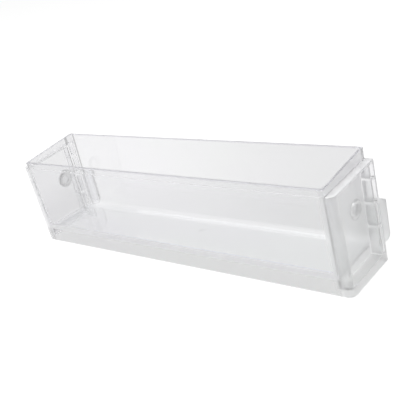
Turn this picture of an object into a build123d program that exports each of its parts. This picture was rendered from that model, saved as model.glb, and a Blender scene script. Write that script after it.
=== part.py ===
from build123d import *
from math import hypot
import os

# Clear fridge door shelf, moulded in one piece. Sizes are in millimetres.
# X runs along the shelf, the front is at -Y and the door side at +Y, Z is up.
# The origin is in the middle of the shelf's own box, on the surface it stands on.

# Trough
length = 411.0  # over the feet of the two end frames
depth = 73.0  # front face to back face, at the shoulder
back_height = 110.0  # rim along the back
rim_fall = 7.0  # the rim along the front is this much lower
neck_height = 6.3  # front rim above the shoulder
shoulder_fall = 2.7  # the shoulder is this much lower along the front
front_lean = 3.5  # the foot of the front wall is set back this far
back_lean = 2.9  # the foot of the back wall is set forward this far
end_lean = 2.7  # each end frame leans in this far, from its foot to the shoulder
wall = 2.4  # all walls, the neck, the skirt and the frames
floor_level = 19.2  # top of the floor above the skirt's lower edge
floor_thickness = 2.4
sweep_radius = 4.6  # inside, from the floor up into the front wall
back_radius = 5.0  # inside, from the floor up into the back wall
inside_radius = 2.0  # the other inside corners
neck_step = 0.6  # the neck is set back this far from the front face
neck_radius = 1.0  # upright front corners of the neck
shoulder_round = 0.5
foot_round = 0.6
rim_round = 0.7

# End frames, which stand out from the end walls and face the sides of the door
frame_reach = 11.0  # at the foot
ledge_level = 9.5  # top of each frame's lower side above the skirt's lower edge
corner_radius = 7.2  # upright front corners, outside
web = 2.2  # ribs in the frames
web_inset = 8.6  # from the back face to the upright rib
rung_count = 3  # cross ribs in each rear channel
rung_drop = 13.7  # from the front shoulder down to the middle of the highest cross rib
rung_spacing = 23.0
bay_radius = 1.2
stop_radius = 9.2  # round stop on each end wall
stop_height = 3.6
stop_core = 5.0  # radius of the blind hole behind the stop
stop_cap = 2.2  # left over the blind hole
stop_level = 62.6
stop_inset = 26.5  # middle of the stop in front of the back face

# Hanger tongues behind the back wall, hollow and open below
tongue_reach = 14.4
tongue_width = 13.2
tongue_inset = 3.2  # from the foot of the end frame to the tongue's outer side
tongue_wall = 2.0
tongue_bottom = 15.0
tongue_top = 53.3  # at its free side
tongue_root = 62.4  # where its sloping top meets the back face
tongue_heel = 5.0  # radius of its lower outer corner
tongue_toe = 1.5  # radius of its upper outer corner

cut_past = 2.0  # how far a cut runs past the face that it opens

# Planes and levels that follow from the sizes above
front_face = -(depth + tongue_reach) / 2
back_face = front_face + depth
tongue_face = back_face + tongue_reach
tongue_start = length / 2 - tongue_inset - tongue_width
front_height = back_height - rim_fall
front_shoulder = front_height - neck_height
back_shoulder = front_shoulder + shoulder_fall
end_face = length / 2 - frame_reach
neck_front = front_face + neck_step
hollow_half = end_face - wall
shoulder_plane = Plane(origin=(0, front_face, front_shoulder), x_dir=(1, 0, 0), z_dir=(0, -shoulder_fall, depth))


def front_at(height):
    """Place of the leaning front face at a height."""
    return front_face + front_lean * (1 - height / front_shoulder)


def back_at(height):
    """Place of the leaning back face at a height."""
    return back_face - back_lean * (1 - height / back_shoulder)


def end_at(height):
    """Distance from the middle to the leaning end at a height."""
    return length / 2 - end_lean * height / back_shoulder


def shoulder_at(place):
    """Height of the sloping shoulder at a place from front to back."""
    return front_shoulder + shoulder_fall * (place - front_face) / depth


def outline(height, inset):
    """Outline of the body at a height, set in by a distance, with round front corners."""
    front = front_at(height) + inset
    back = back_at(height) - inset
    with BuildSketch(Plane.XY.offset(height)) as level:
        with Locations((0, (front + back) / 2)):
            Rectangle(2 * (end_at(height) - inset), back - front)
        fillet(level.vertices().group_by(Axis.Y)[0], corner_radius - inset)
    return level.sketch


rim_depth = back_at(back_height) - neck_front
rim_plane = Plane(origin=(0, neck_front, front_height), x_dir=(1, 0, 0), z_dir=(0, -rim_fall, rim_depth))
foot_outline = outline(0, 0)
shoulder_outline = outline(back_shoulder, 0)
ledge_underside = ledge_level - floor_thickness
floor_underside = floor_level - floor_thickness
skirt_outlines = [outline(0, wall), outline(ledge_underside, wall)]
nook_outlines = [outline(ledge_level, wall), outline(back_shoulder, wall)]

# Space inside the trough: one profile along the shelf, with rounded corners at its ends
with BuildPart() as hollow:
    rim_front = (neck_front + wall, back_height)
    rim_back = (back_at(back_height) - wall, back_height)
    with BuildSketch(Plane.YZ):
        with BuildLine():
            FilletPolyline(
                rim_front,
                (front_at(floor_level) + wall, floor_level),
                (back_at(floor_level) - wall, floor_level),
                rim_back,
                radius=(sweep_radius, back_radius),
            )
            Line(rim_back, rim_front)
        make_face()
    extrude(amount=hollow_half, both=True)
    end_edges = hollow.faces().filter_by(Axis.X).edges()
    fillet(end_edges.filter_by_position(Axis.Z, 0, back_height, (True, False)), inside_radius)

# Space inside the skirt, under the ledges of the end frames and, between them, under the floor
with BuildPart() as underside:
    loft(skirt_outlines, ruled=True)
    with BuildSketch(Plane.YZ):
        with BuildLine():
            Polyline(
                (front_at(0) + wall, 0),
                (back_at(0) - wall, 0),
                (back_at(floor_underside) - wall, floor_underside),
                (front_at(floor_underside) + wall, floor_underside),
                close=True,
            )
        make_face()
    extrude(amount=hollow_half, both=True)

# Gap between the feet at the back, where the floor bends up into the back wall at an even thickness
with BuildPart() as back_gap:
    bend_radius = back_radius + floor_thickness
    bend_corner = (back_at(floor_underside), floor_underside)
    bend_front = bend_corner[0] - bend_radius - cut_past
    bend_top = floor_underside + bend_radius + cut_past
    with BuildSketch(Plane.YZ) as gap_side:
        with BuildLine():
            Polyline(
                (bend_front, 0),
                (back_face + cut_past, 0),
                (back_face + cut_past, bend_top),
                (back_at(bend_top), bend_top),
                bend_corner,
                (bend_front, floor_underside),
                close=True,
            )
        make_face()
        fillet(gap_side.vertices().sort_by_distance(bend_corner)[0], bend_radius)
    extrude(amount=tongue_start - web, both=True)

# Recess of the right end frame: a nook behind the round corner, a front bay and the rear channel's cells
with BuildPart() as end_recess:
    bay_front = front_face + corner_radius
    channel_front = back_face - web_inset
    bay_back = channel_front - web
    loft(nook_outlines, ruled=True)
    split(bisect_by=shoulder_plane.offset(-wall), keep=Keep.BOTTOM)
    split(bisect_by=Plane.YZ.offset(end_face), keep=Keep.TOP)
    split(bisect_by=Plane.XZ.offset(-bay_back), keep=Keep.TOP)
    rung_heights = [front_shoulder - rung_drop - rung_spacing * step for step in reversed(range(rung_count))]
    cell_floors = [ledge_level] + [height + web / 2 for height in rung_heights]
    cell_tops = [height - web / 2 for height in rung_heights] + [shoulder_at(channel_front) - wall]
    with BuildSketch(Plane.YZ.offset(end_face)) as mouths:
        for cell_floor, cell_top in zip(cell_floors, cell_tops):
            with BuildLine():
                Polyline(
                    (channel_front, cell_floor),
                    (back_at(cell_floor) - wall, cell_floor),
                    (back_at(cell_top) - wall, cell_top),
                    (channel_front, cell_top),
                    close=True,
                )
            make_face()
        fillet(mouths.vertices(), bay_radius)
        with BuildLine():
            Polyline(
                (bay_front, ledge_level),
                (bay_back, ledge_level),
                (bay_back, shoulder_at(bay_back) - wall),
                (bay_front, shoulder_at(bay_front) - wall),
                close=True,
            )
        make_face()
    extrude(amount=frame_reach + cut_past)

# Round stop on the right end wall, and the blind hole behind it
stop_middle = (end_face, back_face - stop_inset, stop_level)
stop_plane = Plane(origin=stop_middle, x_dir=(1, 0, 0), z_dir=(0, -1, 0))
stop_axis = Axis(stop_middle, (1, 0, 0))
stop_sphere = (stop_radius**2 + stop_height**2) / (2 * stop_height)

with BuildPart() as stop:
    with BuildSketch(stop_plane):
        with BuildLine():
            RadiusArc((0, stop_radius), (stop_height, 0), stop_sphere)
            Polyline((stop_height, 0), (-wall / 2, 0), (-wall / 2, stop_radius), (0, stop_radius))
        make_face()
    revolve(axis=stop_axis)

with BuildPart() as stop_hole:
    hole_end = stop_height - stop_cap
    hole_mouth = -wall - cut_past
    with BuildSketch(stop_plane):
        with BuildLine():
            FilletPolyline(
                (hole_end, 0),
                (hole_end, stop_core),
                (hole_mouth, stop_core),
                radius=bay_radius,
            )
            Polyline((hole_mouth, stop_core), (hole_mouth, 0), (hole_end, 0))
        make_face()
    revolve(axis=stop_axis)

# Right hanger tongue: a sloping hood behind the back wall, which drops over a lug on the door
with BuildPart() as tongue:
    with BuildSketch(Plane.YZ.offset(tongue_start)) as tongue_side:
        with BuildLine():
            Polyline(
                (back_at(tongue_root), tongue_root),
                (tongue_face, tongue_top),
                (tongue_face, tongue_bottom),
                (back_at(tongue_bottom), tongue_bottom),
                close=True,
            )
        make_face()
        free_corners = tongue_side.vertices().group_by(Axis.X)[-1].sort_by(Axis.Y)
        fillet(free_corners[0], tongue_heel)
        fillet(free_corners[-1], tongue_toe)
    extrude(amount=tongue_width)
    top_slope = (tongue_root - tongue_top) / (tongue_face - back_at(tongue_root))
    hood_root = tongue_root - tongue_wall * hypot(1, top_slope)
    hood_face = tongue_face - tongue_wall
    hood_bottom = tongue_bottom - cut_past
    with BuildSketch(Plane.YZ.offset(tongue_start + tongue_wall)):
        with BuildLine():
            Polyline(
                (back_at(hood_root), hood_root),
                (hood_face, hood_root - top_slope * (hood_face - back_at(hood_root))),
                (hood_face, hood_bottom),
                (back_at(hood_bottom), hood_bottom),
                close=True,
            )
        make_face()
    extrude(amount=tongue_width - 2 * tongue_wall, mode=Mode.SUBTRACT)

# The whole moulding
with BuildPart() as door_shelf:
    loft([foot_outline, shoulder_outline], ruled=True)
    split(bisect_by=shoulder_plane, keep=Keep.BOTTOM)
    fillet(door_shelf.faces().sort_by(Axis.Z)[-1].edges().sort_by(Axis.Y)[:-1], shoulder_round)
    fillet(door_shelf.faces().sort_by(Axis.Z)[0].edges(), foot_round)

    neck_root = front_shoulder - wall
    with BuildSketch(Plane.YZ):
        with BuildLine():
            Polyline(
                (neck_front, neck_root),
                (back_at(neck_root), neck_root),
                (back_at(back_height), back_height),
                (neck_front, back_height),
                close=True,
            )
        make_face()
    extrude(amount=end_face, both=True)
    fillet(door_shelf.edges().filter_by(Axis.Z).group_by(Axis.Y)[0], neck_radius)
    split(bisect_by=rim_plane, keep=Keep.BOTTOM)

    add(hollow.part, mode=Mode.SUBTRACT)
    fillet(door_shelf.faces().sort_by(Axis.Z)[-1].edges(), min(rim_round, wall / 3))
    add(underside.part, mode=Mode.SUBTRACT)
    add(back_gap.part, mode=Mode.SUBTRACT)

    add(end_recess.part, mode=Mode.SUBTRACT)
    mirror(end_recess.part, about=Plane.YZ, mode=Mode.SUBTRACT)
    add(stop.part)
    mirror(stop.part, about=Plane.YZ)
    add(stop_hole.part, mode=Mode.SUBTRACT)
    mirror(stop_hole.part, about=Plane.YZ, mode=Mode.SUBTRACT)
    add(tongue.part)
    mirror(tongue.part, about=Plane.YZ)

door_shelf.part.label = "door_shelf"
os.makedirs("parts", exist_ok=True)
export_step(door_shelf.part, "parts/door_shelf.step")
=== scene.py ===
from functools import partial, reduce
from math import cos, radians, sin

import bpy
from mathutils import Matrix, Vector

# Clear fridge door shelf on a plain white floor. Everything is in metres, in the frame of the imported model.
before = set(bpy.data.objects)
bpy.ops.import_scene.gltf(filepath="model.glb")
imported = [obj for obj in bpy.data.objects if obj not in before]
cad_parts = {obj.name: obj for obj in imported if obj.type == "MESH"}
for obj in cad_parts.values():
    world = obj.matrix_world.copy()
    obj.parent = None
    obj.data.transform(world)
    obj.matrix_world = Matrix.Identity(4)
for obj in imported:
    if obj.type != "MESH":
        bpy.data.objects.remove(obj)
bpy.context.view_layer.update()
scene = bpy.context.scene
scene.view_settings.view_transform = "Standard"
# A ray crosses many clear walls before it leaves the shelf
crossings = 200
scene.cycles.max_bounces = crossings
scene.cycles.transmission_bounces = crossings
scene.cycles.glossy_bounces = crossings

# Places on the shelf that its material follows
floor_top = 0.0192
floor_underside = 0.0168
end_inside = 0.1921
end_face = 0.1945
front_inside = -0.0385
back_inside = 0.0246
back_face = 0.0293
round_size = 0.005
rib_front = 0.0185
rib_back = 0.0207
root_reach = 0.0014
bottom_ledge = 0.0095
top_ledge = 0.0925
left_foot_bottom = 0.03
left_foot_top = 0.075
corner_reach = 0.0035
front_rim_place = -0.0431
front_rim_height = 0.103
rim_slope = 0.0962
rim_depth = 0.0004
stop_middle = (end_face, 0.0028, 0.0626)
stop_radius = 0.0092
gate_mark = (0.011, 0.003, floor_top)
gate_radius = 0.0035
gate_outer_radius = 0.005
tongue_inner = 0.1891
tongue_outer = 0.2023
tongue_face = 0.0437
tongue_edges = (
    (tongue_inner, back_face, 0),
    (tongue_inner, tongue_face, 0),
    (tongue_outer, tongue_face, 0),
)
tongue_edge_radius = 0.0012

# Widths that make up the soft ends of these places
hair = 0.0002
crisp = 0.0003
thin = 0.0005
soft = 0.001
wide = 0.002

# How far a face has turned upwards or sideways, from where its mask starts to where it is full
upward_turn = (0.5, 0.9)
sideways_turn = (0.7, 0.95)

# Colours of the plastic, with a painted reflection on the floor, painted shade on the rim and a painted shade
# line along the sweep
lavender_tint = (0.912, 0.909, 0.922, 1)
green_tint = (0.909, 0.915, 0.914, 1)
floor_reflection_tint = (0.99, 0.995, 1.0, 1)
rim_shade_tint = (0.95, 0.94, 1.0, 1)
sweep_shade_colour = (0.87, 0.86, 0.92, 1)
# The painted shade line along the sweep and the painted shade on the back wall come in from left to right
line_start, line_end, faintest_line = -0.15, 0.05, 0.2
back_start, back_end = -0.1, 0.2

# Painted light and shade: how much lighter than the rest a place is painted, or darker if the step is below 0
painted_light_and_shade_steps = {
    "end_walls": -0.10,
    "skirt": -0.17,
    "right_foot": -0.12,
    "right_wall": 0.05,
    "stops": -0.14,
    "left_stop": -0.14,
    "back_wall": -0.12,
    "frames": 0.08,
    "painted_rim_shade": -0.17,
    "ribs": -0.04,
    "bend": 0.06,
    "left_foot": -0.1,
    "left_roots": -0.55,
    "left_tongue_edges": -0.6,
    "tongues": 0.03,
    "left_tongue": 0.04,
}

# Roughness of the plastic, and what smudges, wear and haze add to it
polish = 0.05
smudge_step = 0.04
wear_step = 0.1
rim_wear = 2.5
haze_step = 0.23
hazy_places = ("right_end", "left_column", "front_band", "front_ends")


def wire(tree, target, value):
    """Links a socket to the target, or sets the target to a plain value."""
    if isinstance(value, bpy.types.NodeSocket):
        tree.links.new(value, target)
    else:
        target.default_value = value


def combine(tree, operation, *values):
    """Combines sockets or numbers with a math node."""
    node = tree.nodes.new("ShaderNodeMath")
    node.operation = operation
    for target, value in zip(node.inputs, values):
        wire(tree, target, value)
    return node.outputs["Value"]


def overlap(tree, *masks):
    """The product of masks, which is where all of them are 1."""
    return reduce(partial(combine, tree, "MULTIPLY"), masks)


def union(tree, *masks):
    """The largest of masks, which is where any of them is 1."""
    return reduce(partial(combine, tree, "MAXIMUM"), masks)


def span(tree, value, start, end, low=0.0, high=1.0):
    """Goes from low to high, smoothly, while a value goes from start to end."""
    node = tree.nodes.new("ShaderNodeMapRange")
    node.interpolation_type = "SMOOTHSTEP"
    names = ("Value", "From Min", "From Max", "To Min", "To Max")
    for name, part in zip(names, (value, start, end, low, high)):
        wire(tree, node.inputs[name], part)
    return node.outputs["Result"]


def fade(tree, value, start, end):
    """1 until a value gets to the start, and 0 from the end on."""
    return span(tree, value, start, end, low=1.0, high=0.0)


def between(tree, value, low, high, ends):
    """1 while a value lies between two others, 0 outside them, with soft ends."""
    return overlap(tree, span(tree, value, low - ends, low), fade(tree, value, high, high + ends))


def blend(tree, kind, share, below, above):
    """Lays one colour over another."""
    node = tree.nodes.new("ShaderNodeMix")
    node.data_type = "RGBA"
    node.blend_type = kind
    for name, value in (("Factor", share), ("A", below), ("B", above)):
        wire(tree, node.inputs[name], value)
    return node.outputs["Result"]


def split(tree, vector):
    """The three axes of a vector."""
    node = tree.nodes.new("ShaderNodeSeparateXYZ")
    tree.links.new(vector, node.inputs["Vector"])
    return node.outputs["X"], node.outputs["Y"], node.outputs["Z"]


def joined(tree, *axes):
    """A vector made of its first axes, with 0 for the others."""
    node = tree.nodes.new("ShaderNodeCombineXYZ")
    for target, axis in zip(node.inputs, axes):
        tree.links.new(axis, target)
    return node.outputs["Vector"]


def distance(tree, place, point):
    """How far a place is from a point."""
    node = tree.nodes.new("ShaderNodeVectorMath")
    node.operation = "DISTANCE"
    tree.links.new(place, node.inputs[0])
    node.inputs[1].default_value = point
    return node.outputs["Value"]


def noise(tree, place, scale, detail, stretch=(1, 1, 1)):
    """A cloud of noise, from 0 to 1, that can be stretched."""
    mapping = tree.nodes.new("ShaderNodeMapping")
    mapping.inputs["Scale"].default_value = stretch
    cloud = tree.nodes.new("ShaderNodeTexNoise")
    cloud.inputs["Scale"].default_value = scale
    cloud.inputs["Detail"].default_value = detail
    tree.links.new(place, mapping.inputs["Vector"])
    tree.links.new(mapping.outputs["Vector"], cloud.inputs["Vector"])
    return cloud.outputs["Fac"]


def bump(tree, relief, strength, depth):
    """A bump node that turns a relief into a normal."""
    node = tree.nodes.new("ShaderNodeBump")
    node.inputs["Strength"].default_value = strength
    node.inputs["Distance"].default_value = depth
    tree.links.new(relief, node.inputs["Height"])
    return node


def new_material(name):
    """A material with its node tree and its surface shader."""
    material = bpy.data.materials.new(name)
    material.use_nodes = True
    return material, material.node_tree, material.node_tree.nodes["Principled BSDF"]


def dress(tree, surface, looks):
    """Gives the named inputs of a surface their sockets or values."""
    for name, value in looks.items():
        wire(tree, surface.inputs[name], value)


def shelf_places(tree, place, facing):
    """Masks of the places on the shelf, by name. Each is 1 on its place and 0 off it, with soft ends."""
    x, y, height = split(tree, place)
    facing_x, _, facing_z = split(tree, facing)
    out_along = combine(tree, "ABSOLUTE", x)
    upward = span(tree, facing_z, *upward_turn)
    sideways = span(tree, combine(tree, "ABSOLUTE", facing_x), *sideways_turn)
    left_half = fade(tree, x, -soft, soft)
    right_half = span(tree, x, -soft, soft)
    off_end_face = (end_face + thin, end_face + thin + soft)
    where = {}

    # Trough
    inside = fade(tree, out_along, end_inside - wide, end_inside)
    low_down = fade(tree, height, floor_top + wide, floor_top + 3 * wide)
    where["floor"] = overlap(tree, upward, low_down, inside)
    sweep = overlap(
        tree,
        between(tree, height, floor_top - thin, floor_top + round_size, thin),
        between(tree, y, front_inside - soft, front_inside + round_size, thin),
        inside,
    )
    # Painted shade: a line along the sweep, fainter to the left
    where["sweep_line"] = overlap(tree, sweep, span(tree, x, line_start, line_end, low=faintest_line))
    where["back_wall"] = overlap(
        tree,
        span(tree, y, back_inside - 2 * wide, back_inside),
        span(tree, height, floor_top + wide, floor_top + 4 * wide),
        inside,
        span(tree, x, back_start, back_end),
    )
    where["bend"] = overlap(
        tree,
        between(tree, y, back_inside - 3 * wide, back_face, soft),
        between(tree, height, floor_underside - thin, floor_top + round_size, soft),
        inside,
    )

    # Rim
    front_to_back = combine(tree, "SUBTRACT", y, front_rim_place)
    rim_height = combine(tree, "MULTIPLY_ADD", front_to_back, rim_slope, front_rim_height)
    below_rim = combine(tree, "SUBTRACT", rim_height, height)
    where["rim"] = fade(tree, below_rim, rim_depth, 3 * rim_depth)
    # Painted shade: the rim is made darker, except near the right end
    where["painted_rim_shade"] = overlap(tree, where["rim"], fade(tree, x, end_inside - 2 * wide, end_inside - wide))

    # Both ends
    where["right_end"] = span(tree, x, end_face - 3 * hair, end_face - hair)
    above_floor = span(tree, height, floor_top, floor_top + 2 * wide)
    where["end_walls"] = overlap(
        tree,
        sideways,
        between(tree, out_along, end_inside - thin, end_face + thin, thin),
        union(tree, above_floor, where["right_end"]),
    )
    where["right_wall"] = overlap(tree, where["end_walls"], right_half)
    where["frames"] = overlap(
        tree,
        span(tree, out_along, *off_end_face),
        span(tree, height, floor_underside - soft, floor_underside + soft),
        fade(tree, y, back_face, back_face + soft),
    )
    where["ribs"] = overlap(tree, between(tree, y, rib_front, rib_back, crisp), where["frames"])
    high_up = span(tree, height, top_ledge, top_ledge + wide)
    where["ledges"] = overlap(tree, where["frames"], upward, high_up)
    stop_distance = distance(tree, joined(tree, out_along, y, height), stop_middle)
    where["stops"] = fade(tree, stop_distance, stop_radius, stop_radius + soft)
    where["tongues"] = span(tree, y, back_face + thin, back_face + thin + soft)

    # Left end alone
    left_end = fade(tree, x, -end_inside, -end_inside + thin)
    where["left_stop"] = overlap(tree, left_end, where["stops"])
    where["left_foot"] = overlap(
        tree,
        left_end,
        fade(tree, height, left_foot_bottom, left_foot_top),
        fade(tree, out_along, *off_end_face),
    )
    where["left_roots"] = overlap(
        tree,
        left_end,
        between(tree, out_along, end_face - hair, end_face + root_reach, crisp),
        between(tree, y, rib_front - 2 * crisp, rib_back + 2 * crisp, crisp),
    )
    where["left_tongue"] = overlap(tree, left_half, where["tongues"])
    from_above = joined(tree, out_along, y)
    near_edges = []
    for edge in tongue_edges:
        edge_distance = distance(tree, from_above, edge)
        near_edges.append(fade(tree, edge_distance, tongue_edge_radius, tongue_edge_radius + 2 * crisp))
    where["left_tongue_edges"] = overlap(tree, union(tree, *near_edges), left_half)
    before_rib = fade(tree, y, rib_front - wide, rib_front - soft)
    where["left_column"] = overlap(tree, where["frames"], left_half, before_rib)

    # Outer face of the front wall, skirt and right foot
    front_face = fade(tree, y, front_inside - wide, front_inside - wide + thin)
    by_the_floor = between(tree, height, floor_underside - thin, floor_top + round_size - thin, thin)
    where["front_band"] = overlap(tree, front_face, by_the_floor)
    by_the_ends = span(tree, out_along, end_inside - corner_reach, end_inside - corner_reach + soft)
    where["front_ends"] = overlap(tree, front_face, by_the_ends)
    where["skirt"] = overlap(
        tree,
        fade(tree, height, floor_underside - soft, floor_underside + soft),
        fade(tree, y, front_inside + wide, front_inside + wide + soft),
        fade(tree, x, end_face, end_face + soft),
    )
    below_ledge = fade(tree, height, bottom_ledge - thin, bottom_ledge + thin)
    where["right_foot"] = overlap(tree, below_ledge, span(tree, x, end_face + soft, end_face + soft + wide))
    return where


def plastic_colour(tree, place, where):
    """Faintly lavender to faintly green, painted lighter or darker in some places for light and shade, with a
    painted reflection on the floor, painted shade on the rim and a painted shade line along the sweep.
    """
    tint = tree.nodes.new("ShaderNodeValToRGB")
    lavender_end, green_end = tint.color_ramp.elements
    lavender_end.position = 0.35
    lavender_end.color = lavender_tint
    green_end.position = 0.65
    green_end.color = green_tint
    tree.links.new(noise(tree, place, scale=7.0, detail=2.0), tint.inputs["Fac"])
    # Painted light and shade, place by place
    painted_lightness = 1.0
    for name, step in painted_light_and_shade_steps.items():
        painted_lightness = combine(tree, "MULTIPLY_ADD", where[name], step, painted_lightness)
    shade = blend(tree, "MULTIPLY", 1.0, tint.outputs["Color"], painted_lightness)
    # Painted reflection on the upward faces of the trough floor
    with_floor_reflection = blend(tree, "MULTIPLY", where["floor"], shade, floor_reflection_tint)
    # Painted shade on the rim
    with_rim_shade = blend(tree, "MULTIPLY", where["rim"], with_floor_reflection, rim_shade_tint)
    return blend(tree, "MIX", where["sweep_line"], with_rim_shade, sweep_shade_colour)


def plastic_roughness(tree, place, where, scuffs):
    """Nearly polished, with smudges, long scuffs on the floor, a worn rim and hazy places."""
    smudges = span(tree, noise(tree, place, scale=34.0, detail=5.0), start=0.48, end=0.72)
    smudged = combine(tree, "MULTIPLY_ADD", smudges, smudge_step, polish)
    wear = union(tree, scuffs, combine(tree, "MULTIPLY", where["rim"], rim_wear))
    worn = combine(tree, "MULTIPLY_ADD", wear, wear_step, smudged)
    haze = union(tree, *(where[name] for name in hazy_places))
    return combine(tree, "MULTIPLY_ADD", haze, haze_step, worn)


def plastic_relief(tree, place, scuffs):
    """Slow waves all over, fine scuffs on the floor and the round mark of the gate, as a normal."""
    scuff_share = 0.25
    waves = bump(tree, noise(tree, place, scale=22.0, detail=1.0), strength=0.03, depth=0.0006)
    gate = fade(tree, distance(tree, place, gate_mark), gate_radius, gate_outer_radius)
    marks = union(tree, gate, combine(tree, "MULTIPLY", scuffs, scuff_share))
    fine = bump(tree, marks, strength=0.3, depth=0.0003)
    tree.links.new(waves.outputs["Normal"], fine.inputs["Normal"])
    return fine.outputs["Normal"]


def clear_plastic():
    """Clear moulded plastic, faintly tinted, with painted light and shade, soft waves, smudges, and scuffs
    where bottles stand.
    """
    material, tree, surface = new_material("clear_plastic")
    coordinates = tree.nodes.new("ShaderNodeTexCoord")
    place = coordinates.outputs["Object"]
    where = shelf_places(tree, place, coordinates.outputs["Normal"])
    streaks = noise(tree, place, scale=300.0, detail=4.0, stretch=(0.05, 1, 1))
    scuffs = overlap(tree, where["floor"], span(tree, streaks, start=0.5, end=0.7))
    # Painted highlight: the upward faces at the tops of the end frames are made partly diffuse, so they show
    # white
    ledge_highlight_noise = span(tree, noise(tree, place, scale=60.0, detail=4.0), start=0.3, end=0.6, low=0.5, high=0.8)
    painted_ledge_highlight = overlap(tree, where["ledges"], ledge_highlight_noise)
    dress(tree, surface, {
        "IOR": 1.5,
        "Base Color": plastic_colour(tree, place, where),
        # Painted highlight on the tops of the end frames
        "Transmission Weight": combine(tree, "SUBTRACT", 1.0, painted_ledge_highlight),
        "Roughness": plastic_roughness(tree, place, where, scuffs),
        "Normal": plastic_relief(tree, place, scuffs),
    })
    return material


def seen_share(tree, through):
    """1 for rays from the eye, the named share for mirrored or refracted rays, and 0 for others."""
    path = tree.nodes.new("ShaderNodeLightPath")
    bent = union(tree, path.outputs["Is Glossy Ray"], path.outputs["Is Transmission Ray"])
    return combine(tree, "MULTIPLY_ADD", bent, through, path.outputs["Is Camera Ray"])


def white_floor(half, grey, glow, through):
    """A wide floor, white to the eye, with a share of that glow in the gloss and through the plastic."""
    mesh = bpy.data.meshes.new("floor")
    corners = [(-half, -half, 0), (half, -half, 0), (half, half, 0), (-half, half, 0)]
    mesh.from_pydata(corners, [], [(0, 1, 2, 3)])
    material, tree, surface = new_material("floor")
    dress(tree, surface, {
        "Base Color": (grey, grey, grey, 1),
        "Roughness": 0.9,
        "Specular IOR Level": 0.0,
        "Emission Color": (1, 1, 1, 1),
        "Emission Strength": combine(tree, "MULTIPLY", seen_share(tree, through), glow),
    })
    mesh.materials.append(material)
    floor = bpy.data.objects.new("floor", mesh)
    scene.collection.objects.link(floor)


def white_world(light):
    """Surroundings, white to the eye, in the gloss and through the plastic, that add a weak even light."""
    world = bpy.data.worlds.new("studio")
    world.use_nodes = True
    tree = world.node_tree
    background = tree.nodes["Background"]
    background.inputs["Color"].default_value = (1, 1, 1, 1)
    level = tree.nodes.new("ShaderNodeMapRange")
    level.inputs["To Min"].default_value = light
    level.inputs["To Max"].default_value = 1.0
    tree.links.new(seen_share(tree, through=1.0), level.inputs["Value"])
    tree.links.new(level.outputs["Result"], background.inputs["Strength"])
    scene.world = world


def soft_lamp(name, place, aim, length, width, power):
    """A large oblong lamp, level along its length, seen in the gloss but not through the plastic."""
    lamp = bpy.data.lights.new(name, "AREA")
    lamp.shape = "RECTANGLE"
    lamp.size = length
    lamp.size_y = width
    lamp.energy = power
    holder = bpy.data.objects.new(name, lamp)
    holder.location = place
    holder.rotation_euler = (Vector(aim) - Vector(place)).to_track_quat("-Z", "Y").to_euler()
    holder.visible_transmission = False
    scene.collection.objects.link(holder)


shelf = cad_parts["door_shelf"]
shelf.data.materials.clear()
shelf.data.materials.append(clear_plastic())

# Floor, surroundings and lamps
white_floor(half=12.0, grey=0.18, glow=0.92, through=0.9)
white_world(light=0.2)
# The key lamp glints along the long rounds, the back lamp lights the top and the edges of the right end
soft_lamp("key_lamp", place=(-1.4, -0.9, 1.45), aim=(-1.4, 0.0, 0.02), length=3.4, width=2.0, power=56)
soft_lamp("back_lamp", place=(1.1, 0.8, 1.5), aim=(0.1, 0.0, 0.05), length=1.0, width=1.0, power=12)

# Camera at the photograph's angle, slightly turned about its own axis
azimuth = radians(43.62)
elevation = radians(23.71)
roll = radians(-13.89)
aim = Vector((0, -0.00707, 0.055))
aim_distance = 0.71361
shift_right = 0.0251
shift_down = 0.00439
back = Vector((sin(azimuth) * cos(elevation), -cos(azimuth) * cos(elevation), sin(elevation)))
level_right = Vector((cos(azimuth), sin(azimuth), 0))
level_up = back.cross(level_right)
right = cos(roll) * level_right + sin(roll) * level_up
up = cos(roll) * level_up - sin(roll) * level_right
eye = aim + aim_distance * back + shift_right * right - shift_down * up
camera_data = bpy.data.cameras.new("camera")
camera_data.sensor_width = 36.0
camera_data.lens = 60.41
camera = bpy.data.objects.new("camera", camera_data)
camera.matrix_world = Matrix.Translation(eye) @ Matrix((right, up, back)).transposed().to_4x4()
scene.collection.objects.link(camera)
scene.camera = camera
